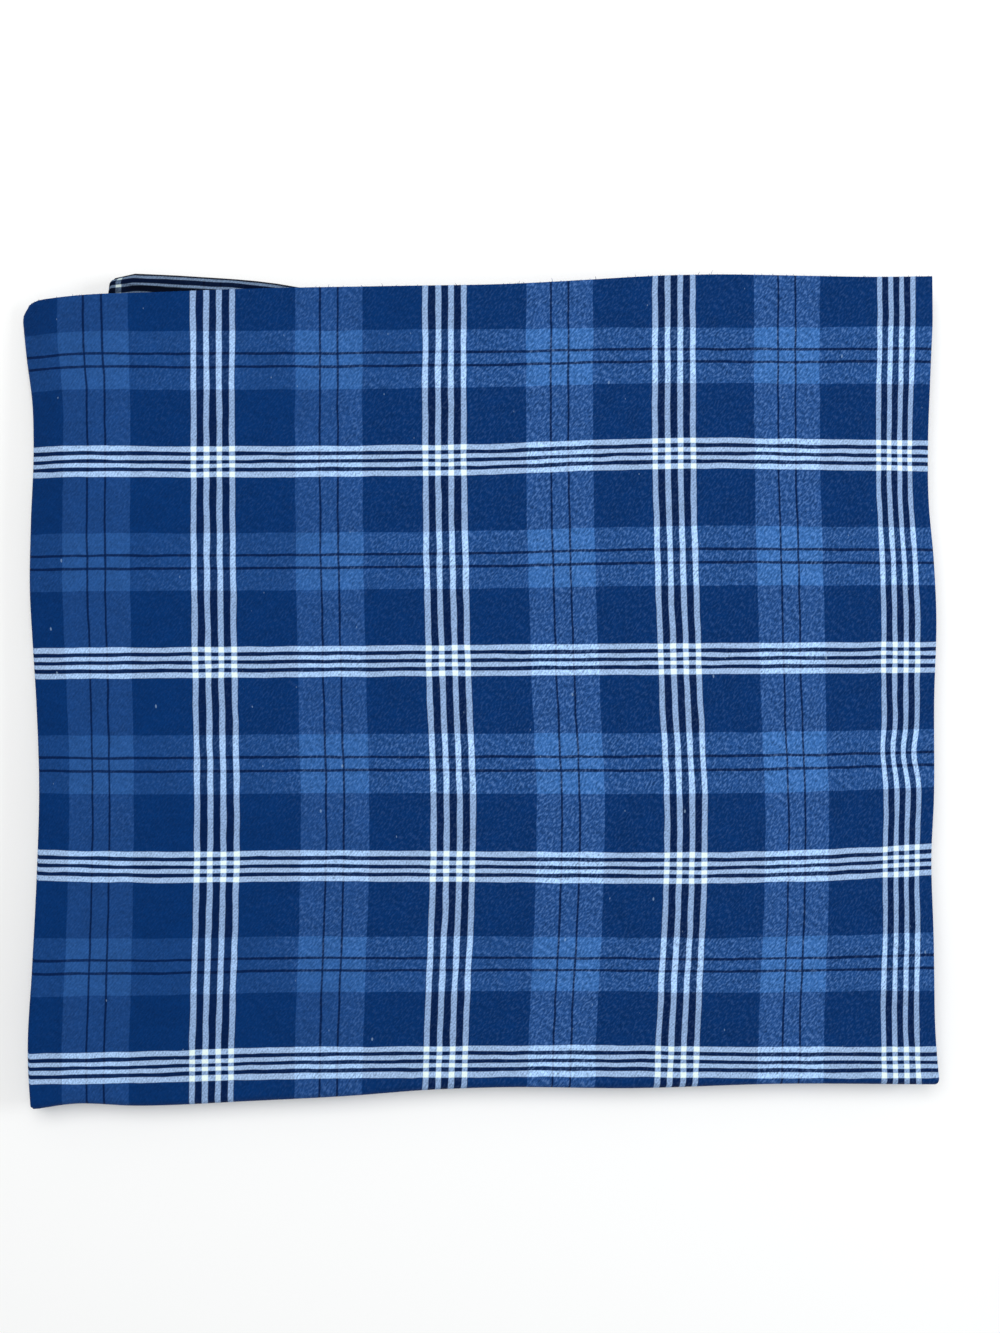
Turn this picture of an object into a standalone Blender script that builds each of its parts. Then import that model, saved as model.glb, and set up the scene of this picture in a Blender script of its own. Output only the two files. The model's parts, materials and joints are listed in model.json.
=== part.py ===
"""A length of plaid cotton flannel, folded in quarters lengthwise and then in a zigzag of four leaves.

The cloth is one piece. Here it is the panels between its fold lines and the bends along them: each leaf
has four panels, one from each quarter of the cloth's width, and three lengthwise bends. The crosswise
folds are hinges, so every panel that reaches one ends in a quarter round that curves to the hinge line.

Metres. +X runs along the crosswise folds, +Y from the bottom folds to the top fold, +Z up.
The origin is on the table under the middle of the stack's box.
"""

from math import cos, pi, radians, sin, tan

import bmesh
import bpy
from mathutils import Vector

# Driving dimensions
LEAF_WIDTH = 0.381  # a quarter of a cloth 1.524 m (60 in) wide
LEAF_LENGTH = 0.3405  # from the bottom folds to the front leaf's cut end, at mid width
CLOTH_THICKNESS = 0.0005
PLY_GAP = 0.0003  # air between two plies of one leaf
LEAF_GAP = 0.0006  # air between two leaves
JOIN_GAP = 0.0003  # between a bend and the panel it runs into, and between two leaves' ends at a hinge
BOTTOM_SLANT = radians(1.4)  # of the bottom folds, anticlockwise from +X
FRONT_END_SLANT = radians(1.35)  # of the front leaf's cut end
TOP_SLANT = radians(-3.3)  # of the top fold
TOP_SETBACK = 0.005  # from the front leaf's cut end back to the top fold, at mid width
TOP_LEFT_INSET = 0.034  # how far the hidden leaves narrow towards the left end of the top fold
TOP_RIGHT_INSET = 0.002
BACK_END_CLEARANCE = 0.003  # the back leaf's cut end to the front leaf's, once that is turned over the top
BEND_STEPS = 6  # flats in a quarter round

# Worked out from them
PLIES = 4
PLY_PITCH = CLOTH_THICKNESS + PLY_GAP
LEAF_THICKNESS = PLIES * CLOTH_THICKNESS + (PLIES - 1) * PLY_GAP
LEAF_PITCH = LEAF_THICKNESS + LEAF_GAP
NOSE_REACH = LEAF_THICKNESS + (LEAF_GAP - JOIN_GAP) / 2  # outer radius of a crosswise fold
HINGE_CLEARANCE = JOIN_GAP / 2  # from a crosswise fold's outermost line out to its hinge line
SIDE_REACH = LEAF_THICKNESS / 2  # outer radius of the outer side fold
CENTRE_REACH = CLOTH_THICKNESS + PLY_GAP / 2  # outer radius of the centre fold

CLOTH_NAVY = (0.012, 0.045, 0.16, 1.0)
CLOTH_BLUE = (0.03, 0.11, 0.33, 1.0)
CLOTH_ROUGHNESS = 0.9


class Edge:
    """A straight line across a leaf, in plan, that slants and goes through a point at mid width."""

    def __init__(self, middle_y, slant):
        self.middle_y = middle_y
        self.slant = slant

    def at(self, x):
        return Vector((x, self.middle_y + x * tan(self.slant), 0))

    def direction(self):
        return Vector((cos(self.slant), sin(self.slant), 0))


def clear_scene():
    for ob in list(bpy.data.objects):
        bpy.data.objects.remove(ob, do_unlink=True)


def make_material(name, colour):
    material = bpy.data.materials.new(name)
    material.use_nodes = True
    shader = material.node_tree.nodes["Principled BSDF"]
    shader.inputs["Base Color"].default_value = colour
    shader.inputs["Roughness"].default_value = CLOTH_ROUGHNESS
    shader.inputs["Metallic"].default_value = 0.0
    return material


def cloth_strip(name, rows, leaf, colour):
    """One piece of cloth through rows of two points each, thickened evenly on both sides of them."""
    mesh = bpy.data.meshes.new(name)
    bm = bmesh.new()
    pairs = [[bm.verts.new(point - leaf.origin) for point in row] for row in rows]
    for (left, right), (next_left, next_right) in zip(pairs, pairs[1:]):
        bm.faces.new((left, right, next_right, next_left))
    bm.to_mesh(mesh)
    bm.free()
    mesh.materials.append(make_material(name, colour))
    ob = bpy.data.objects.new(name, mesh)
    leaf.collection.objects.link(ob)
    ob.parent = leaf.hinge
    thickness = ob.modifiers.new("cloth thickness", "SOLIDIFY")
    thickness.thickness = CLOTH_THICKNESS
    thickness.offset = 0.0
    thickness.use_even_offset = True
    return ob


def nose_profile(ply_z, fold_z):
    """(distance in from the fold's outermost line, height) from a hinge's plane round to the flat ply."""
    side = 1 if ply_z > fold_z else -1
    radius = abs(ply_z - fold_z) - JOIN_GAP / 2
    turns = [pi / 2 * step / BEND_STEPS for step in range(BEND_STEPS + 1)]
    return [
        (NOSE_REACH - radius * cos(turn), fold_z + side * (JOIN_GAP / 2 + radius * sin(turn)))
        for turn in turns
    ]


class Leaf:
    """One leaf of the zigzag: its outline in plan, its plies' heights and the folds it hangs on."""

    def __init__(self, name, level, outline, bottom_fold, top_fold, turned_over, collection):
        self.name = name
        self.base_z = level * LEAF_PITCH
        self.bottom_left, self.bottom_right, self.top_right, self.top_left = outline
        self.bottom_fold = bottom_fold  # +1 folds up to the leaf above, -1 down to the next, 0 is a cut end
        self.top_fold = top_fold
        self.turned_over = turned_over
        self.collection = collection
        self.hinge = None
        self.origin = Vector((0, 0, 0))

    def ply_z(self, ply):
        """Mid height of a ply, counted from the side that faces up before the leaf was turned over."""
        step = ply if self.turned_over else PLIES - 1 - ply
        return self.base_z + CLOTH_THICKNESS / 2 + step * PLY_PITCH

    def fold_z(self, way):
        """Height of the hinge plane above or below this leaf."""
        if way > 0:
            return self.base_z + LEAF_THICKNESS + LEAF_GAP / 2
        return self.base_z - LEAF_GAP / 2

    def along_sides(self, left_inset, right_inset):
        """The two straight side lines, inset from the outline, as bottom and top points."""
        bottom = (self.bottom_right - self.bottom_left).normalized()
        top = (self.top_right - self.top_left).normalized()
        left = (self.bottom_left + bottom * left_inset, self.top_left + top * left_inset)
        right = (self.bottom_right - bottom * right_inset, self.top_right - top * right_inset)
        return left, right

    def point(self, side, from_bottom, from_top, z):
        """The point on a side line at a distance in from the bottom edge, or else from the top edge."""
        low, high = side
        if from_bottom is not None:
            start, run, edge = low, (high - low).normalized(), self.bottom_right - self.bottom_left
            distance = from_bottom
        else:
            start, run, edge = high, (low - high).normalized(), self.top_right - self.top_left
            distance = from_top
        square = abs(Vector((-edge.y, edge.x, 0)).normalized().dot(run))
        place = start + run * (distance / square)
        return Vector((place.x, place.y, z))

    def add_hinge(self, hinge_edge, way, parent):
        """An empty on the middle of this leaf's hinge line, which the leaf's pieces are parented to."""
        self.hinge = bpy.data.objects.new(self.name + "_hinge", None)
        self.collection.objects.link(self.hinge)
        if hinge_edge:
            self.origin = hinge_edge.at(0) + Vector((0, 0, self.fold_z(way)))
        self.hinge.parent = parent.hinge if parent else None
        self.hinge.location = self.origin - (parent.origin if parent else Vector((0, 0, 0)))

    def add_panel(self, ply, number):
        """A flat panel of cloth, with a quarter round at each end that reaches a crosswise fold."""
        left, right = self.along_sides(SIDE_REACH + JOIN_GAP, CENTRE_REACH + JOIN_GAP)
        z = self.ply_z(ply)
        rows = []
        if self.bottom_fold:
            for reach, height in nose_profile(z, self.fold_z(self.bottom_fold)):
                rows.append([self.point(side, reach, None, height) for side in (left, right)])
        else:
            rows.append([self.point(s, 0, None, z) for s in (left, right)])
        if self.top_fold:
            for reach, height in reversed(nose_profile(z, self.fold_z(self.top_fold))):
                rows.append([self.point(side, None, reach, height) for side in (left, right)])
        else:
            rows.append([self.point(s, None, 0, z) for s in (left, right)])
        cloth_strip(f"{self.name}_panel_{number}", rows, self, CLOTH_NAVY)

    def add_bend(self, piece, ply, next_ply, on_left, reach):
        """A lengthwise bend: a half round that joins two plies along one side of the leaf."""
        lower, upper = sorted((self.ply_z(ply), self.ply_z(next_ply)))
        radius, middle_z = (upper - lower) / 2, (upper + lower) / 2
        bottom_start = NOSE_REACH + JOIN_GAP if self.bottom_fold else 0
        top_start = NOSE_REACH + JOIN_GAP if self.top_fold else 0
        rows = []
        for step in range(2 * BEND_STEPS + 1):
            turn = pi * step / (2 * BEND_STEPS)
            inset = reach - radius * sin(turn)
            left, right = self.along_sides(inset, inset)
            side = left if on_left else right
            z = middle_z + radius * cos(turn)
            rows.append([self.point(side, bottom_start, None, z), self.point(side, None, top_start, z)])
        if on_left:
            rows.reverse()
        cloth_strip(f"{self.name}_{piece}", rows, self, CLOTH_BLUE)

    def add_pieces(self):
        # From the outside of the first lengthwise fold in: quarters 2, 3, 4 and 1 of the cloth's width.
        for ply, number in enumerate((2, 3, 4, 1)):
            self.add_panel(ply, number)
        self.add_bend("outer_side_fold", 0, 3, True, SIDE_REACH)
        self.add_bend("inner_side_fold", 1, 2, True, SIDE_REACH)
        self.add_bend("centre_fold", 0, 1, False, CENTRE_REACH)


def outline(bottom, top, bottom_left_x, bottom_right_x, top_right_x, top_left_x):
    return bottom.at(bottom_left_x), bottom.at(bottom_right_x), top.at(top_right_x), top.at(top_left_x)


def build():
    clear_scene()
    collection = bpy.data.collections.new("folded_fabric_length")
    bpy.context.scene.collection.children.link(collection)

    half = LEAF_WIDTH / 2
    rise = half * tan(BOTTOM_SLANT)
    end_rise = half * tan(FRONT_END_SLANT)
    # The front leaf's lowest corner and highest corner are equally far from the origin.
    bottom_y = -(LEAF_LENGTH + end_rise - rise) / 2
    bottom = Edge(bottom_y, BOTTOM_SLANT)
    front_end = Edge(bottom_y + LEAF_LENGTH, FRONT_END_SLANT)
    top = Edge(bottom_y + LEAF_LENGTH - TOP_SETBACK, TOP_SLANT)
    # Turned over the top fold, the front leaf's overhang lies level with the back leaf, which stops short.
    overhang = front_end.at(half).y - top.at(half).y
    back_end = Edge(top.middle_y - overhang - BACK_END_CLEARANCE, TOP_SLANT)
    bottom_hinge = Edge(bottom.middle_y - HINGE_CLEARANCE / cos(BOTTOM_SLANT), BOTTOM_SLANT)
    top_hinge = Edge(top.middle_y + HINGE_CLEARANCE / cos(TOP_SLANT), TOP_SLANT)

    top_left, top_right = -half + TOP_LEFT_INSET, half - TOP_RIGHT_INSET
    hidden = outline(bottom, top, -half, half, top_right, top_left)
    back = outline(bottom, back_end, -half, half, top_right, top_left)
    front = outline(bottom, front_end, -half, half, half, -half)

    back_leaf = Leaf("back", 0, back, 1, 0, True, collection)
    third_leaf = Leaf("third", 1, hidden, -1, 1, False, collection)
    second_leaf = Leaf("second", 2, hidden, 1, -1, True, collection)
    front_leaf = Leaf("front", 3, front, -1, 0, False, collection)
    back_leaf.add_hinge(None, 0, None)
    third_leaf.add_hinge(bottom_hinge, -1, back_leaf)
    second_leaf.add_hinge(top_hinge, -1, third_leaf)
    front_leaf.add_hinge(bottom_hinge, -1, second_leaf)
    for leaf in (back_leaf, third_leaf, second_leaf, front_leaf):
        leaf.add_pieces()


build()
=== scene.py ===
import json
import math

import bpy
import numpy as np
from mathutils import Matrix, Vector


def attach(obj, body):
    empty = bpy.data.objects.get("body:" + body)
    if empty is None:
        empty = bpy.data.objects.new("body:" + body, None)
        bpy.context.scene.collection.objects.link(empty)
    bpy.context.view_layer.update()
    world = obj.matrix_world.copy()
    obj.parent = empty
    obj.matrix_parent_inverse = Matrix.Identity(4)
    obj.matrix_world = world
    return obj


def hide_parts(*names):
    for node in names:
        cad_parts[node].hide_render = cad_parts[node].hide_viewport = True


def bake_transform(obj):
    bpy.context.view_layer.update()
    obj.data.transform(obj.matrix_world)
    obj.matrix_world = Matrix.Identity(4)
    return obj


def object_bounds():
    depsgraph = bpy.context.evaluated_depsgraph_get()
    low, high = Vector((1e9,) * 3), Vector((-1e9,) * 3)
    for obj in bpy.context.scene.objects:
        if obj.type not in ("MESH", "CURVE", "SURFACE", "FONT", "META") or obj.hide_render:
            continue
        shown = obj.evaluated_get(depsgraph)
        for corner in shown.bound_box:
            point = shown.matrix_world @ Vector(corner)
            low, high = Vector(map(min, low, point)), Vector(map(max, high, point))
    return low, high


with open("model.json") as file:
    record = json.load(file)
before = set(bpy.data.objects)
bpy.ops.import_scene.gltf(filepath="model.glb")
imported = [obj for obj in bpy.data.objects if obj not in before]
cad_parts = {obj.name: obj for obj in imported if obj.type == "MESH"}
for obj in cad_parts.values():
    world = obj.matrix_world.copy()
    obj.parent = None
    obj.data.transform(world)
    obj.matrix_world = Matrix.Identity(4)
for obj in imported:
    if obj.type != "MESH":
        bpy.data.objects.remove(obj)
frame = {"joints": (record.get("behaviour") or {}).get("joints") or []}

cad_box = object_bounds()
MM = 0.001


# ---- The studio ------------------------------------------------------------------------------------------
# A pale table top, lit by one large softbox overhead and a smaller one on the right, with white card all
# round. The camera hangs over the cloth, a degree short of straight down.
def make_light(name, place, aim, size, watts, colour):
    data = bpy.data.lights.new(name, "AREA")
    data.shape, data.size, data.energy, data.color = "SQUARE", size, watts, colour
    light = bpy.data.objects.new(name, data)
    light.location = place
    light.rotation_euler = (Vector(aim) - Vector(place)).to_track_quat("-Z", "Y").to_euler()
    bpy.context.scene.collection.objects.link(light)


top_z = cad_box[1].z
camera_aim = Vector((8 * MM, 10.7 * MM, top_z))
picture_height, lens, sensor = 561.2 * MM, 40.0, 36.0
camera_distance = picture_height * lens / sensor
lean = math.radians(1.0)
camera_data = bpy.data.cameras.new("overhead camera")
camera_data.lens, camera_data.sensor_width = lens, sensor
camera = bpy.data.objects.new("overhead camera", camera_data)
camera.location = camera_aim + Vector((0, -math.sin(lean), math.cos(lean))) * camera_distance
camera.rotation_euler = (lean, 0, 0)
bpy.context.scene.collection.objects.link(camera)
bpy.context.scene.camera = camera
bpy.context.scene.view_settings.view_transform = "Standard"

make_light("overhead softbox", (-0.15, 0.5, 1.5), (0, 0, 0), 1.3, 18.6, (1.0, 0.99, 0.97))
make_light("side softbox", (1.3, 0.1, 0.75), (0.05, 0, 0), 0.6, 7.6, (0.97, 0.99, 1.0))
world = bpy.data.worlds.new("white card")
world.use_nodes = True
world.node_tree.nodes["Background"].inputs["Color"].default_value = (0.95, 0.98, 1.0, 1)
world.node_tree.nodes["Background"].inputs["Strength"].default_value = 0.40
bpy.context.scene.world = world

table_half = 3.0
table_corners = [(x * table_half, y * table_half, 0) for x, y in ((-1, -1), (1, -1), (1, 1), (-1, 1))]
table_mesh = bpy.data.meshes.new("table top")
table_mesh.from_pydata(table_corners, [], [(0, 1, 2, 3)])
table_top = bpy.data.objects.new("table top", table_mesh)
table_top.location.z = -0.2 * MM
bpy.context.scene.collection.objects.link(table_top)
table_paint = bpy.data.materials.new("matt white table")
table_paint.use_nodes = True
table_paint.node_tree.nodes["Principled BSDF"].inputs["Base Color"].default_value = (0.95, 0.95, 0.95, 1)
table_paint.node_tree.nodes["Principled BSDF"].inputs["Roughness"].default_value = 0.85
table_mesh.materials.append(table_paint)


# ---- Front leaf ------------------------------------------------------------------------------------------
# The leaf that faces up: four plies of brushed cotton twill, a plaid woven from navy, blue and white yarns.
# It is held only by its bottom fold. Its top edge is the cloth's cut end, and its left side hangs free past
# the narrower leaves below and droops a little.
cloth_thickness = 0.5 * MM
ply_pitch = 0.8 * MM
plies = 4
leaf_thickness = cloth_thickness + (plies - 1) * ply_pitch
leaf_gap = (top_z - 4 * leaf_thickness) / 3
side_reach = leaf_thickness / 2
centre_reach = (cloth_thickness + ply_pitch) / 2
nose_reach = leaf_thickness + leaf_gap / 2
least_flap = 0.6 * MM
bow_reach = 25 * MM  # how far in from a side its bow is felt
cloth_width = 1524 * MM
half_width = cad_box[1].x
cloth_middle = cloth_width / 2

joints = {joint["name"]: joint for joint in frame["joints"]}


def hinge_line(joint_name, inward):
    """The straight line of a crosswise fold in plan, moved in from its hinge line, as a function of x."""
    place, along = joints[joint_name]["pos_m"], joints[joint_name]["axis"]
    return lambda x: place[1] + inward + (x - place[0]) * along[1] / along[0]


def through(points, at):
    """A smooth line through a few (place, value) points."""
    places, values = np.array(points, float).T
    slopes = np.gradient(values, places)
    at = np.clip(at, places[0], places[-1])
    i = np.clip(np.searchsorted(places, at) - 1, 0, len(places) - 2)
    run, rise = places[i + 1] - places[i], values[i + 1] - values[i]
    f = (at - places[i]) / run
    bow = f * (1 - f) * ((1 - f) * (slopes[i] * run - rise) - f * (slopes[i + 1] * run - rise))
    return values[i] + f * rise + bow


def ease(share):
    share = np.clip(share, 0, 1)
    return share * share * (3 - 2 * share)


def ripple(x, y, seed, longest, shortest, waves=14):
    """Uneven ripples of about unit height, from crossing waves of different lengths and directions."""
    rng = np.random.default_rng(seed)
    total = np.zeros(np.broadcast(x, y).shape)
    for _ in range(waves):
        length = shortest * (longest / shortest) ** rng.random()
        turn, start = rng.random() * math.pi, rng.random() * 2 * math.pi
        along = x * math.cos(turn) + y * math.sin(turn)
        total += (length / longest) * np.sin(2 * math.pi * along / length + start)
    return total * 1.6 / math.sqrt(waves)


class Leaf:
    """One leaf of the folded cloth: its edges in plan, its level in the stack and its place on the cloth."""

    turned = False  # face down, so its plies lie in the opposite order
    low_fold = high_fold = True  # whether the bottom and top edges are crosswise folds, or cut ends
    v_way = -1  # the cloth's length runs down the leaf, or with 1 up it
    lift = 0.0  # how high its ripples stand
    fold_u = (cloth_width / 4, cloth_width / 4)  # the side fold on the cloth, at the bottom and top edges
    left_bow = right_bow = ((-1, 0), (1, 0))  # (y, how far the side lies inside its straight line)
    corner, low_corner = 4 * MM, 2.5 * MM  # the radii of its left corners, at the top and at the bottom
    top_fold_shade = 0.0  # how dark the shade painted along its top edge is
    high_bulge = ((-1, 0), (1, 0))  # (x, how far its top fold stands out past the hinge line)

    def __init__(self, name, level):
        self.name = name
        self.base_z = level * (leaf_thickness + leaf_gap)

    def flap(self, s, at_top):
        """How much flat cloth beside a crosswise fold belongs to the fold's piece and not to the leaf's."""
        if not at_top:
            return least_flap + 0 * s
        x = self.left[1] + s * (self.right[1] - self.left[1])
        return np.maximum(through(self.high_bulge, x) - nose_reach + 0.5 * MM, least_flap)

    def length_at(self, s):
        """The leaf's length at a share of its width."""
        low_x = self.left[0] + s * (self.right[0] - self.left[0])
        high_x = self.left[1] + s * (self.right[1] - self.left[1])
        return self.high_edge(high_x) - self.low_edge(low_x)

    def spot(self, s_base, a, t_base, b):
        """Plan position, and its shares of the width and length, from base shares plus lengths a and b."""
        (left_low, left_high), (right_low, right_high) = self.left, self.right
        width = (right_low - left_low) * (1 - t_base) + (right_high - left_high) * t_base
        s = s_base + a / width
        low_x, high_x = left_low + s * (right_low - left_low), left_high + s * (right_high - left_high)
        length = self.high_edge(high_x) - self.low_edge(low_x)
        t = t_base + b / length
        inside_left = s * width
        top_corner, bottom_corner = (self.corner, (1 - t) * length, -1), (self.low_corner, t * length, 1)
        for radius, inside, inward in (top_corner, bottom_corner):
            across, along = radius - inside_left, radius - inside
            in_corner = (across > 0) & (along > 0)
            pull = 1 - np.maximum(across, along) / np.maximum(np.hypot(across, along), 1e-9)
            s, t = s + pull * in_corner * across / width, t + inward * pull * in_corner * along / length
        low_x, high_x = left_low + s * (right_low - left_low), left_high + s * (right_high - left_high)
        x = low_x * (1 - t) + high_x * t
        y = self.low_edge(low_x) * (1 - t) + self.high_edge(high_x) * t
        x = x + through(self.left_bow, y) * np.exp(-s * width / bow_reach)
        x = x - through(self.right_bow, y) * np.exp(-(1 - s) * width / bow_reach)
        return x, y, s, t, width, length


def plies_across(flat_steps):
    """The leaf's section as columns from one selvedge to the other, each with its place on the cloth.

    Each column is (share of the width, distance in from there, height above the leaf's lowest ply, u_base,
    u_fold, slip): its place across the cloth is u_base + u_fold * the side fold's, and slip is how far its
    cut ends lie short of the longest ply's.
    """
    heights = [cloth_thickness / 2 + step * ply_pitch for step in range(plies)]
    outer_r, inner_r = (heights[3] - heights[0]) / 2, (heights[2] - heights[1]) / 2
    half_outer, half_inner = outer_r * math.pi / 2, inner_r * math.pi / 2
    slips = (1.4 * MM, 0.0, 0.5 * MM, 1.9 * MM)
    selvedge_insets = (1.6 * MM, 0.0, 0.0, 2.3 * MM)
    columns = []

    def flat(panel, height, steps, rightwards):
        """The columns of one ply's flat panel, f running from the side fold to the centre fold."""
        for step in range(steps + 1):
            f = step / steps if rightwards else 1 - step / steps
            a = side_reach * (1 - f) - (centre_reach + selvedge_insets[panel - 1]) * f
            u = {
                1: (-half_outer * (1 - f), 1 - f),
                2: (half_outer * (1 - f) + (cloth_middle - half_inner) * f, 1 - f),
                3: ((cloth_middle + half_inner) * f + (cloth_width - half_inner) * (1 - f), f - 1),
                4: ((cloth_width + half_inner) * (1 - f) + cloth_width * f, f - 1),
            }[panel]
            columns.append((f, a, height, *u, slips[panel - 1]))

    def bend(on_left, reach, radius, middle, downwards, u_middle, u_fold, half, slip_from, slip_to, steps=8):
        """The columns round one lengthwise fold, from one ply to the next."""
        for step in range(1, steps):
            share = step / steps
            turn = math.pi * (share if downwards else 1 - share)
            inset = reach - radius * math.sin(turn)
            height = middle + radius * math.cos(turn)
            slip = slips[slip_from - 1] * (1 - share) + slips[slip_to - 1] * share
            u = u_middle + half * (2 * share - 1)
            columns.append((0 if on_left else 1, inset if on_left else -inset, height, u, u_fold, slip))

    middle = leaf_thickness / 2
    flat(1, heights[0], flat_steps[0], False)
    bend(True, side_reach, outer_r, middle, False, 0, 1, half_outer, 1, 2)
    flat(2, heights[3], flat_steps[1], True)
    upper_middle = (heights[3] + heights[2]) / 2
    bend(False, centre_reach, inner_r, upper_middle, True, cloth_middle, 0, half_inner, 2, 3)
    flat(3, heights[2], flat_steps[2], False)
    bend(True, side_reach, inner_r, middle, True, cloth_width, -1, half_inner, 3, 4)
    flat(4, heights[1], flat_steps[3], True)
    return [np.array(column) for column in zip(*columns)]


def cloth_sheet(name, x, y, z, u, v, painted_fold_shade):
    """A closed sheet of cloth over a grid of middle points, which remembers its place on the unfolded cloth.

    The third number beside u and v is how much shade is painted along a fold there.
    """
    rows, columns = x.shape
    corner = (np.arange(rows - 1)[:, None] * columns + np.arange(columns - 1)).ravel()
    quads = np.stack([corner, corner + 1, corner + columns + 1, corner + columns], 1)
    mesh = bpy.data.meshes.new(name)
    mesh.from_pydata(np.stack([x, y, z], -1).reshape(-1, 3).tolist(), [], quads.tolist())
    place = mesh.attributes.new("cloth_place", "FLOAT_VECTOR", "POINT")
    place.data.foreach_set("vector", np.stack([u, v, painted_fold_shade + 0 * u], -1).astype(np.float32).ravel())
    sheet = bpy.data.objects.new(name, mesh)
    bpy.context.scene.collection.objects.link(sheet)
    solidify = sheet.modifiers.new("cloth thickness", "SOLIDIFY")
    solidify.thickness, solidify.offset, solidify.use_even_offset = cloth_thickness, 0, True
    bpy.context.view_layer.update()
    closed = bpy.data.meshes.new_from_object(sheet.evaluated_get(bpy.context.evaluated_depsgraph_get()))
    sheet.modifiers.clear()
    sheet.data = closed
    closed.name = name
    closed.shade_smooth()
    closed.set_sharp_from_angle(angle=math.radians(50))
    return sheet


def leaf_heights(leaf, heights):
    """Mid heights of a leaf's columns above the table."""
    return leaf.base_z + (leaf_thickness - heights if leaf.turned else heights)


def fold_plane(lower):
    """The height of the crosswise fold between a leaf and the next one up."""
    return lower.base_z + leaf_thickness + leaf_gap / 2


def settle(leaf, x, y, s, t, z, length):
    """Ripples, and the droop of what hangs past the leaves below. Both fade out towards a crosswise fold."""
    flat_edge = nose_reach + 3 * MM
    from_low = ease((t * length - flat_edge) / (40 * MM)) if leaf.low_fold else 1
    from_high = ease(((1 - t) * length - flat_edge) / (40 * MM)) if leaf.high_fold else 1
    fade = from_low * from_high
    swell = 0.5 + 0.5 * ripple(x, y, 5, 170 * MM, 45 * MM)
    z = z + leaf.lift * np.clip(swell, 0, 1.4) * fade
    if leaf.name == "front":
        rest_x = second.left[0] * (1 - t) + second.left[1] * t
        past = np.clip(rest_x - x, 0, None)
        z = z - droop * (past / overhang) ** 1.8 * from_low
    return z


def leaf_sheet(leaf, flat_steps, rows):
    """The leaf's four plies and their lengthwise bends, as one sheet of cloth."""
    s_base, a, height, u_base, u_fold, slip = plies_across(flat_steps)
    z_flat = leaf_heights(leaf, height)
    g = np.linspace(0, 1, rows + 1)[:, None]
    low_flap, high_flap = leaf.flap(s_base, False), leaf.flap(s_base, True)
    low_reach = nose_reach + low_flap if leaf.low_fold else slip
    high_reach = nose_reach + high_flap if leaf.high_fold else slip
    inwards = low_reach * (1 - g) - high_reach * g
    x, y, s, t, width, length = leaf.spot(s_base[None, :], a[None, :], g, inwards)
    low_v, high_v = leaf.low_v(s), leaf.high_v(s)
    if leaf.low_fold:
        low_v = low_v + leaf.v_way * (math.pi / 2 * abs(z_flat - leaf.low_plane) + low_flap)
    else:
        low_v = low_v + leaf.v_way * slip
    if leaf.high_fold:
        high_v = high_v - leaf.v_way * (math.pi / 2 * abs(z_flat - leaf.high_plane) + high_flap)
    else:
        high_v = high_v - leaf.v_way * slip
    u = u_base + u_fold * (leaf.fold_u[0] * (1 - t) + leaf.fold_u[1] * t)
    v = low_v * (1 - g) + high_v * g
    if leaf.name == "front":
        u, v = handled(u, v, s, y)
    z = settle(leaf, x, y, s, t, z_flat + 0 * x, length)
    leaf.end_row = [values[-1] for values in (x, y, z, u, v)]
    inside_top = (1 - t) * length
    # Shade is painted along a top fold and fades out between 8 and 16 mm from it.
    beside_fold = ease(2 - inside_top / (8 * MM))
    painted_fold_shade = leaf.top_fold_shade * beside_fold * (0.85 + 0.35 * ease((inside_top - nose_reach) / (2 * MM)))
    return cloth_sheet(leaf.name + "_leaf_cloth", x, y, z, u, v, painted_fold_shade)


front = Leaf("front", 3)
second = Leaf("second", 2)
overhang = 34 * MM
droop = 7 * MM
bottom_line = hinge_line("front_leaf_fold", 0.15 * MM)
top_line = hinge_line("second_leaf_fold", -0.15 * MM)
front.left, front.right = (-half_width, -half_width), (half_width, half_width)
second.left, second.right = (-half_width, -half_width + overhang), (half_width, half_width - 2 * MM)


def in_metres(*pairs):
    """(place, value) pairs from millimetres."""
    return [(place * MM, value * MM) for place, value in pairs]


# How far the bottom fold and the cut end stray from straight lines, by x.
bottom_stray = in_metres((-190, -1.0), (-172, 1.1), (-146, -0.3), (-95, 0.5), (-55, 1.6), (-22, 3.3),
                         (8, 3.6), (64, 1.9), (125, 2.2), (190, 0.4))
end_stray = in_metres((-190, 1.2), (-156, 1.3), (-110, 2.2), (-76, 2.3), (0, 1.6), (44, 2.6), (95, 4.0),
                      (130, 2.8), (166, 1.0), (190, 0.7))
front.low_edge = lambda x: bottom_line(x) + through(bottom_stray, x)
end_middle, end_slope = 170.3 * MM, math.tan(math.radians(1.35))
front.high_edge = lambda x: end_middle + x * end_slope + through(end_stray, x)
front.high_fold = False
front.low_plane = fold_plane(second)
front.lift = 1.6 * MM
front.corner = 8 * MM
# How far the sides bow in, by y.
front.left_bow = in_metres((-175, 1.5), (-158, 0.4), (-117, 2.1), (-80, 3.6), (-40, 4.4), (-3, 2.5),
                           (20, 0.6), (43, -1.0), (69, -0.8), (104, 0.2), (123, -0.8), (143, -4.2),
                           (160, -6.6))
front.right_bow = in_metres((-165, -1.9), (-144, -0.2), (-101, 1.0), (-68, 1.5), (-47, 0.2), (0, -0.2),
                            (32, -1.1), (56, -0.2), (80, 1.7), (104, 1.9), (130, 1.0), (156, -0.2))

# The y at which the weave's length is counted from, at this leaf's left and right sides.
weft_zero = (170.3 * MM, 172.4 * MM)


def front_weft(s, edge):
    """How far along the cloth an edge of this leaf lies, at a share of the leaf's width."""
    x = -half_width + s * 2 * half_width
    return weft_zero[0] * (1 - s) + weft_zero[1] * s - edge(x)


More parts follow.
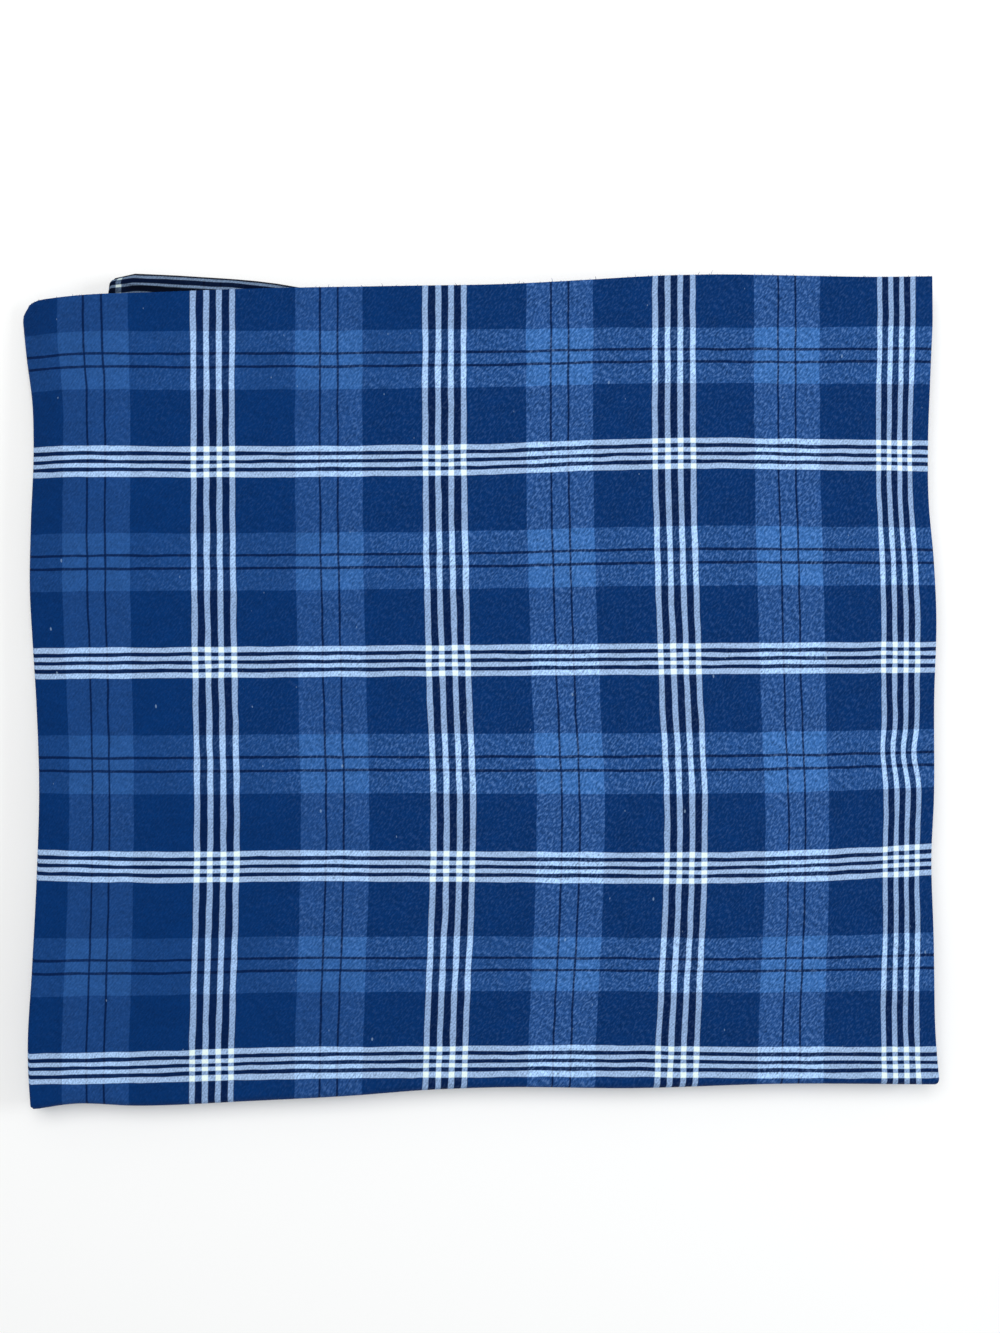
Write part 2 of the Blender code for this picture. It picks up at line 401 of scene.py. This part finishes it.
# Handling has left the weave a few millimetres off the straight. The warp stripes wander to the right low
# down, by the share of the width and by y, and the weft stripes near each y have a slow wave of their own.
warp_drift_by_s = [(0, 0.8), (0.2, 2.1), (0.46, 3.7), (0.71, 4.7), (0.9, 3.0), (1, 2.1)]
warp_drift_by_y = [(-175, 0), (-132, 0.35), (-88, 0.85), (-45, 1), (-3, 0.6), (39, 0.28), (81, 0.05),
                   (170, 0)]
weft_drift_by_s = {
    -157: [(0, 0.3), (0.12, -0.4), (0.25, -1.7), (0.45, -2.1), (0.63, -2.1), (0.8, -1.0), (1, -0.6)],
    -73: [(0, -0.1), (0.12, 0.9), (0.38, 1.0), (0.5, 1.7), (0.75, 2.5), (0.9, 1.4), (1, -0.5)],
    13: [(0, 0.4), (0.5, 0), (1, -0.3)],
    97: [(0, 0.3), (0.38, 0.7), (0.5, 0.3), (0.63, -1.2), (0.76, -1.7), (0.9, -0.6), (1, 0)],
}
# Beside the centre fold the cloth is gathered a little, so its stripes stand closer together there.
gather = in_metres((0, 4.4), (4, 4.2), (8.4, 3.8), (13, 3.0), (17.7, 2.3), (22.3, 1.5), (35, 0.6), (60, 0),
                   (400, 0))
kink_depth, kink_y, kink_length, kink_share = 2.2 * MM, -26, 9, 0.08  # a pinch in the right-hand stripes


def warp_drift(s, y):
    """How far to the right the warp has moved."""
    drift = MM * through(warp_drift_by_s, s) * through(warp_drift_by_y, y / MM)
    kink = np.exp(-(((y / MM - kink_y) / kink_length) ** 2)) * np.exp(-(((1 - s) / kink_share) ** 2))
    return drift - kink_depth * kink


def weft_drift(s, y):
    """How far down the leaf the weft has moved."""
    levels = sorted(weft_drift_by_s)
    drifts = [through(weft_drift_by_s[level], s) for level in levels]
    total = 0
    for lower, upper, low_drift, high_drift in zip(levels, levels[1:], drifts, drifts[1:]):
        inside = (y / MM >= lower) & (y / MM < upper)
        share = ease((y / MM - lower) / (upper - lower))
        total = total + inside * (low_drift * (1 - share) + high_drift * share)
    below, above = y / MM < levels[0], y / MM >= levels[-1]
    ends = ease((y / MM + 176) / 19) * below * drifts[0] + ease((175 - y / MM) / 70) * above * drifts[-1]
    return MM * (total + ends)


def handled(u, v, s, y, share=1.0):
    """A place on the cloth after the weave's drift, which is taken up within the plies below."""
    from_centre_fold = np.clip((1 - s) * 2 * half_width, 0, None)
    slide = warp_drift(s, y) - through(gather, from_centre_fold)
    slide = slide * np.where(u > cloth_middle, np.exp(-from_centre_fold / (30 * MM)), 1)
    return u - share * slide, v - share * weft_drift(s, y)


# A ply that goes round a crosswise fold takes more cloth than the fold's reach in plan.
bend_slack = math.pi / 2 * (nose_reach - cloth_thickness / 2) - nose_reach
front.high_v = lambda s: front_weft(s, front.high_edge)
front.low_v = lambda s: front_weft(s, front.low_edge) + bend_slack

# The plaid is woven in, so its pattern is laid out on the flat cloth: u across it from one selvedge, and v
# along it from the cut end of this leaf. Both are in millimetres inside the material.
cloth_paint = bpy.data.materials.new("brushed plaid twill")
cloth_paint.use_nodes = True
nodes, links = cloth_paint.node_tree.nodes, cloth_paint.node_tree.links
shader = nodes["Principled BSDF"]


def feed(socket, value):
    if isinstance(value, bpy.types.NodeSocket):
        links.new(value, socket)
    else:
        socket.default_value = value


def number(operation, *values, clamp=False):
    node = nodes.new("ShaderNodeMath")
    node.operation, node.use_clamp = operation, clamp
    for socket, value in zip(node.inputs, values):
        feed(socket, value)
    return node.outputs[0]


def slope(value, low, high, to_low=0.0, to_high=1.0):
    """A smooth step from to_low to to_high as the value passes from low to high."""
    node = nodes.new("ShaderNodeMapRange")
    node.interpolation_type = "SMOOTHSTEP"
    for socket, given in zip(node.inputs, (value, low, high, to_low, to_high)):
        feed(socket, given)
    return node.outputs[0]


def blend_colours(share, one, other):
    node = nodes.new("ShaderNodeMix")
    node.data_type = "RGBA"
    feed(node.inputs[0], share)
    feed(node.inputs[6], one)
    feed(node.inputs[7], other)
    return node.outputs[2]


def grain(place, stretch, scale, detail=2.0):
    """Noise on the flat cloth, with features about 1/scale millimetres long, stretched along either yarn."""
    squeeze = nodes.new("ShaderNodeVectorMath")
    squeeze.operation = "MULTIPLY"
    feed(squeeze.inputs[0], place)
    squeeze.inputs[1].default_value = (*stretch, 1)
    noise = nodes.new("ShaderNodeTexNoise")
    feed(noise.inputs["Vector"], squeeze.outputs[0])
    feed(noise.inputs["Scale"], scale)
    feed(noise.inputs["Detail"], detail)
    return noise.outputs["Fac"]


def rgb(red, green, blue):
    """A colour seen in white light, from screen values to the shader's linear ones."""
    shares = [c / 255 for c in (red, green, blue)]
    return (*(((c + 0.055) / 1.055) ** 2.4 if c > 0.04 else c / 12.92 for c in shares), 1)


def added(*values):
    total = values[0]
    for value in values[1:]:
        total = number("ADD", total, value)
    return total


def times(*values):
    total = values[0]
    for value in values[1:]:
        total = number("MULTIPLY", total, value)
    return total


def swing(noise, strength):
    """A noise from 0 to 1 as a change to either side of nothing."""
    return times(number("SUBTRACT", noise, 0.5), strength)


def scaled(vector, factor):
    node = nodes.new("ShaderNodeVectorMath")
    node.operation = "SCALE"
    feed(node.inputs[0], vector)
    feed(node.inputs["Scale"], factor)
    return node.outputs[0]


def flat_point(across, along):
    node = nodes.new("ShaderNodeCombineXYZ")
    feed(node.inputs[0], across)
    feed(node.inputs[1], along)
    return node.outputs[0]


place_node = nodes.new("ShaderNodeAttribute")
place_node.attribute_name = "cloth_place"
split = nodes.new("ShaderNodeSeparateXYZ")
feed(split.inputs[0], scaled(place_node.outputs["Vector"], 1000))
# The third number is the shade painted along a fold.
u_flat, v_flat, painted_fold_shade = split.outputs[0], split.outputs[1], number("DIVIDE", split.outputs[2], 1000)
place = flat_point(u_flat, v_flat)
# The yarns wander by a fraction of a millimetre, so no stripe has a ruled edge.
u = number("ADD", u_flat, swing(grain(place, (1, 0.4), 0.16), 1.1))
v = number("ADD", v_flat, swing(grain(place, (0.4, 1), 0.17), 1.1))
yarn_edge = 0.2


def stripe(distance, centre, half):
    """1 on a stripe of this half width whose middle is at this distance from the group's, else 0."""
    off = number("ABSOLUTE", number("SUBTRACT", distance, centre))
    return slope(off, number("SUBTRACT", half, yarn_edge), number("ADD", half, yarn_edge), 1.0, 0.0)


def from_group(at, repeat, first):
    """The distance from the nearest white group's middle line."""
    return number("PINGPONG", number("SUBTRACT", at, first), repeat / 2)


def plaid(at, repeat, first, whites, band_half, lines_at, line_half):
    """Groups of white stripes, one each repeat, and midway between two a blue band with two dark lines."""
    to_group = from_group(at, repeat, first)
    to_band = number("SUBTRACT", repeat / 2, to_group)
    white = added(*(stripe(to_group, centre, half) for centre, half in whites))
    line = stripe(to_band, lines_at, line_half)
    return white, number("SUBTRACT", stripe(to_band, 0, band_half), line, clamp=True), line


def thinned(half):
    """A white stripe's half width, narrowed where shade is painted along a fold."""
    return number("SUBTRACT", half, times(painted_fold_shade, 0.38))


# Each way, in millimetres: the repeat, where a first group lies before the cloth begins, and for each stripe
# its place from the group's middle line and half its width.
warp_repeat, weft_repeat = 97.0, 85.05
warp_first, weft_first = 458.3 - warp_repeat * 8, 73.0 - weft_repeat * 4
warp_stripes = [(2.69, 1.17), (8.07, 1.17)]
weft_stripes = [(1.66, thinned(0.88)), (5.36, thinned(1.12))]
warp_white, warp_blue, warp_line = plaid(u, warp_repeat, warp_first, warp_stripes, 14.1, 3.7, 0.41)
weft_white, weft_blue, weft_line = plaid(v, weft_repeat, weft_first, weft_stripes, 12.2, 2.75, 0.54)

navy, warp_on_navy, weft_on_navy = rgb(2, 45, 100), rgb(32, 73, 133), rgb(28, 71, 131)
blue, white_warp, white_weft = rgb(52, 102, 168), rgb(134, 162, 202), rgb(150, 178, 216)
white_on_blue, white, group_gap = rgb(165, 200, 244), rgb(230, 247, 245), rgb(0, 18, 58)
# The blue yarns show less towards the side fold and more towards the centre fold: painted sheen of light
# raking across the nap, spread unevenly by a random wear.
from_side_fold = number("PINGPONG", u_flat, cloth_middle / MM)
sheen_and_wear_reach = number("ADD", from_side_fold, swing(grain(place, (1, 1), 0.012, 2.0), 260))
sheen_and_nap = number("MULTIPLY_ADD", slope(sheen_and_wear_reach, 390.0, 610.0), 0.85, 0.15)
depth = number("MULTIPLY_ADD", sheen_and_nap, 0.55, 0.45)
warp_blue, weft_blue = times(warp_blue, depth), times(weft_blue, depth)
ground = blend_colours(warp_blue, navy, warp_on_navy)
# Between the white stripes of a group the ground is darker than elsewhere.
near_group = number("MAXIMUM", slope(from_group(u, warp_repeat, warp_first), 9.2, 9.7, 1, 0),
                    slope(from_group(v, weft_repeat, weft_first), 6.3, 6.8, 1, 0))
ground = blend_colours(near_group, ground, blend_colours(0.75, ground, group_gap))
weft_ground = blend_colours(warp_blue, weft_on_navy, blue)
ground = blend_colours(weft_blue, ground, blend_colours(times(near_group, 0.45), weft_ground, group_gap))
ground = blend_colours(times(number("MAXIMUM", warp_line, weft_line), 0.72), ground, group_gap)
either_blue = number("MAXIMUM", warp_blue, weft_blue)
warp_colour = blend_colours(weft_blue, white_warp, white_on_blue)
weft_colour = blend_colours(warp_blue, white_weft, white_on_blue)
colour = blend_colours(warp_white, ground, warp_colour)
colour = blend_colours(weft_white, colour, weft_colour)
both_white = times(warp_white, weft_white)
colour = blend_colours(both_white, colour, white)
one_white = number("SUBTRACT", number("MAXIMUM", warp_white, weft_white), both_white)

# Twill lines climb steeply to the right. The brushing has raised a pale nap that all but hides them, and
# that catches most on the blue bands.
rise, twill_pitch = math.radians(53), 1.15
across_rib = number("ADD", times(u, math.sin(rise)), times(v, math.cos(rise)))
along_rib = number("SUBTRACT", times(u, math.cos(rise)), times(v, math.sin(rise)))
twill = number("MULTIPLY_ADD", number("SINE", times(across_rib, 2 * math.pi / twill_pitch)), 0.5, 0.5)
hatch = grain(flat_point(across_rib, along_rib), (1.0, 0.42), 1.35, 2.0)
fuzz = grain(place, (1.0, 0.62), 0.95, 4.0)
yarns = grain(place, (1.0, 0.8), 1.7, 2.0)
mottle = grain(place, (1, 1), 0.09, 3.0)
pucker = grain(place, (0.6, 1.0), 0.34, 2.0)
relief = number("MULTIPLY_ADD", one_white, 0.12, 0.10)
hatched = number("MULTIPLY_ADD", either_blue, 1.2, 0.6)
# The hatch stands out more where the painted sheen falls.
raised = number("MULTIPLY_ADD", sheen_and_nap, 0.62, 0.38)
# The pucker term paints the shade of small puckers into the colour, beside their bump.
changes = added(swing(twill, relief), swing(fuzz, 0.35), swing(hatch, times(raised, hatched)),
                swing(yarns, number("MULTIPLY_ADD", one_white, 1.1, 0.4)), swing(pucker, 0.26),
                swing(mottle, 0.30))
calmed = number("MULTIPLY_ADD", both_white, -0.7, 1.0)
shade = number("MULTIPLY_ADD", changes, calmed, 1.0)
colour = scaled(colour, number("MAXIMUM", shade, 0.0))
# The pale nap shows more where the painted sheen falls.
nap_share = times(slope(hatch, 0.45, 0.75), sheen_and_nap, number("MULTIPLY_ADD", either_blue, 0.15, 0.05))
nap, lint, binding = rgb(150, 186, 228), rgb(175, 208, 240), rgb(120, 140, 180)
colour = blend_colours(nap_share, colour, nap)
lint_share = times(slope(grain(place, (1, 0.5), 0.55, 0.0), 0.86, 0.90), 0.3)
colour = blend_colours(lint_share, colour, lint)
# The selvedges are bound a little tighter and paler.
to_selvedge = number("MINIMUM", u_flat, number("SUBTRACT", cloth_width / MM, u_flat))
colour = blend_colours(times(slope(to_selvedge, 7.0, 8.0, 1, 0), 0.35), colour, binding)
# Shade painted along a fold darkens the cloth, its white stripes least.
darkening = number("MULTIPLY_ADD", both_white, -0.45, number("MULTIPLY_ADD", weft_white, -0.15, 1.0))
colour = scaled(colour, number("SUBTRACT", 1.0, times(painted_fold_shade, darkening)))
feed(shader.inputs["Base Color"], colour)
feed(shader.inputs["Roughness"], number("MULTIPLY_ADD", fuzz, 0.12, 0.80))
shader.inputs["Sheen Weight"].default_value = 0.04
shader.inputs["Sheen Roughness"].default_value = 0.45
shader.inputs["Sheen Tint"].default_value = (0.75, 0.86, 1.0, 1)
shader.inputs["Specular IOR Level"].default_value = 0.05
bump = nodes.new("ShaderNodeBump")
bump.inputs["Distance"].default_value = 0.16 * MM
bump.inputs["Strength"].default_value = 0.8
heights = ((twill, 0.3), (hatch, 2.0), (fuzz, 0.6), (pucker, 2.2), (mottle, 2.4))
feed(bump.inputs["Height"], added(*(times(pattern, height) for pattern, height in heights)))
feed(shader.inputs["Normal"], bump.outputs["Normal"])

soft_parts = [f"panel_{ply}" for ply in range(1, plies + 1)]
soft_parts += ["outer_side_fold", "inner_side_fold", "centre_fold"]


def finish_cloth(sheet, body=None, replaced=""):
    """Gives a piece of cloth its material and the body it rides, and hides the model's parts for the leaf it
    stands for.
    """
    sheet.data.materials.append(cloth_paint)
    if body:
        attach(sheet, body)
    if replaced:
        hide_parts(*(f"{replaced}_{part}" for part in soft_parts))
    return sheet


front_steps = (60, 150, 44, 44)  # columns across each panel, most on the one that faces up
front_cloth = finish_cloth(leaf_sheet(front, front_steps, 130), "front_leaf", "front")


def frayed_yarns(leaf, count, seed):
    """Warp yarns that stick out of a cut end, where the weft has dropped out: short, bent, thin-tipped."""
    rng = np.random.default_rng(seed)
    points, faces, places = [], [], []
    sides, rings, yarn_r = 5, 5, 0.13 * MM
    for _ in range(count):
        at = rng.uniform(0, len(leaf.end_row[0]) - 1.001)
        i, f = int(at), at % 1
        root = [values[i] * (1 - f) + values[i + 1] * f for values in leaf.end_row]
        long = rng.choice((0.3, 0.6, 1.5), p=(0.65, 0.31, 0.04)) * rng.uniform(0.7, 1.3) * MM
        lean_x, lean_z, curl = rng.normal(0, 0.28), rng.normal(0, 0.12), rng.normal(0, 0.35)
        first = len(points)
        for ring in range(rings):
            share = ring / (rings - 1)
            ahead = share * long - 0.5 * MM * (1 - share)
            middle = (root[0] + ahead * (lean_x + curl * share), root[1] + ahead, root[2] + ahead * lean_z)
            for side in range(sides):
                around = 2 * math.pi * side / sides
                r = yarn_r * (1 - 0.7 * share**2)
                points.append((middle[0] + r * math.cos(around), middle[1], middle[2] + r * math.sin(around)))
                places.append((root[3], root[4], 0))
        for ring in range(rings - 1):
            for side in range(sides):
                one, two = first + ring * sides + side, first + ring * sides + (side + 1) % sides
                faces.append((one, two, two + sides, one + sides))
        faces.append([first + side for side in range(sides)][::-1])
        faces.append([first + (rings - 1) * sides + side for side in range(sides)])
    mesh = bpy.data.meshes.new(leaf.name + "_frayed_yarns")
    mesh.from_pydata(points, [], faces)
    place = mesh.attributes.new("cloth_place", "FLOAT_VECTOR", "POINT")
    place.data.foreach_set("vector", np.array(places, np.float32).ravel())
    mesh.shade_smooth()
    yarns = bpy.data.objects.new(mesh.name, mesh)
    bpy.context.scene.collection.objects.link(yarns)
    return finish_cloth(yarns, leaf.name + "_leaf")


front_yarns = frayed_yarns(front, 420, 3)


# ---- Second leaf -----------------------------------------------------------------------------------------
# The next four plies of the same flannel, lying face down between the upper bottom fold and the top fold.
# The top fold stands out past the front leaf's cut end at the left, where this leaf is the narrower one.
second.turned, second.v_way = True, 1
second.low_edge = front.low_edge
fold_bulge = in_metres((-156, 3.1), (-150, 4.5), (-138, 5.0), (-118, 5.0), (-101, 4.8), (-89, 4.2),
                       (-78, 3.0), (-40, 0.6), (60, -0.8), (188, 0))
second.high_bulge = fold_bulge
second.high_edge = lambda x: top_line(x) + through(fold_bulge, x)
second.low_plane = front.low_plane
third = Leaf("third", 1)
second.high_plane = fold_plane(third)
second.lift = front.lift * 0.72
second.corner = 5 * MM
second.fold_u = (cloth_width / 4, 357.7 * MM)
second.left_bow = in_metres((-170, 0), (-60, 3.0), (40, -1.0), (120, 1.0), (170, -1.8))
second.right_bow = in_metres((-170, 0.5), (-90, 2.5), (10, 1.0), (90, 3.0), (170, 1.0))
second.low_v = front.low_v
# The shade painted along its top fold.
second.top_fold_shade = 0.78
top_fold_v = 673.3 * MM
second.high_v = lambda s: top_fold_v + 0 * s
hidden_steps = (40, 56, 40, 40)
second_cloth = finish_cloth(leaf_sheet(second, hidden_steps, 70), "second_leaf", "second")


# ---- Third leaf ------------------------------------------------------------------------------------------
# Under it the cloth doubles back once more: four plies of flannel, face up, between the top fold and the
# lower of the two bottom folds, which are all that hold them.
third.low_edge, third.high_edge, third.high_bulge = front.low_edge, second.high_edge, fold_bulge
third.left, third.right = second.left, second.right
back = Leaf("back", 0)
third.low_plane, third.high_plane = fold_plane(back), second.high_plane
third.lift = front.lift * 0.42
third.top_fold_shade = second.top_fold_shade
third.corner = second.corner
third.fold_u = (350 * MM, second.fold_u[1])
third.left_bow, third.right_bow = second.left_bow, second.right_bow
bottom_fold_v = 1019 * MM  # on the plain ground between two white groups
third.low_v = lambda s: bottom_fold_v + 0 * s
third.high_v = second.high_v
third_cloth = finish_cloth(leaf_sheet(third, hidden_steps, 70), "third_leaf", "third")


# ---- Back leaf -------------------------------------------------------------------------------------------
# The last four plies lie on the table, face down, joined to the third leaf by the lower bottom fold. They
# stop short of the top fold, at the flannel's other cut end, which is wavy and a little frayed.
back.turned, back.v_way = True, 1
back.low_edge = front.low_edge
back.high_edge = lambda x: top_line(x) - 23.5 * MM + 0.8 * MM * np.sin(x / (21 * MM))
back.high_fold = False
back.left, back.right = second.left, second.right
back.low_plane = third.low_plane
back.fold_u = (350 * MM, 345 * MM)
back.left_bow, back.right_bow = second.left_bow, second.right_bow
back.low_v = third.low_v
back.high_v = lambda s: third.low_v(s) + back.length_at(s) + bend_slack
back_cloth = finish_cloth(leaf_sheet(back, hidden_steps, 60), "back_leaf", "back")
back_yarns = frayed_yarns(back, 260, 8)


# ---- Crosswise folds -------------------------------------------------------------------------------------
# Where the flannel turns from one leaf to the next, all four plies go round together, the outermost widest.
# These are the places that bend when a leaf is lifted, so each is a piece of its own across its hinge.
def crosswise_fold(name, lower, upper, at_top, flat_steps, steps=14):
    """The plies' round ends between two leaves, from the lower leaf's flap to the upper's."""
    s_base, a, height, u_base, u_fold, _ = plies_across(flat_steps)
    plane = fold_plane(lower)
    radius = (plane - leaf_heights(lower, height))[None, :]
    quarter = math.pi / 2
    round_turns = np.linspace(-quarter, quarter, steps + 1)
    turn = np.concatenate(([-quarter] * 2, round_turns, [quarter] * 2))[:, None]
    flap_share = np.array([-1, -0.5] + [0] * (steps + 1) + [0.5, 1])[:, None]
    flap = flap_share * upper.flap(s_base, at_top)[None, :]
    reach = nose_reach - radius * np.cos(turn) + abs(flap)
    t_base, b = (1.0, -reach) if at_top else (0.0, reach)
    spots = [leaf.spot(s_base[None, :], a[None, :], t_base, b) for leaf in (lower, upper)]
    share = (1 + np.sin(turn)) / 2
    x, y, s = (low * (1 - share) + high * share for low, high in zip(spots[0][:3], spots[1][:3]))
    z = plane + radius * np.sin(turn)
    fold_v = (upper.high_v if at_top else upper.low_v)(s)
    v = fold_v + (-upper.v_way if at_top else upper.v_way) * (radius * turn + flap)
    u = u_base + u_fold * upper.fold_u[1 if at_top else 0] + 0 * turn
    if upper is front:
        u, v = handled(u, v, s, y, share)
    # The shade painted round the top fold, darkest at its crest.
    crest = 1.25 - 0.4 * ease(2.2 * abs(turn) / math.pi)
    fold = finish_cloth(cloth_sheet(name, x, y, z, u, v, upper.top_fold_shade * crest if at_top else 0.0))
    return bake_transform(fold)


front_fold = crosswise_fold("front_crosswise_fold", second, front, False, front_steps)
second_fold = crosswise_fold("second_crosswise_fold", third, second, True, hidden_steps)
third_fold = crosswise_fold("third_crosswise_fold", back, third, False, hidden_steps)
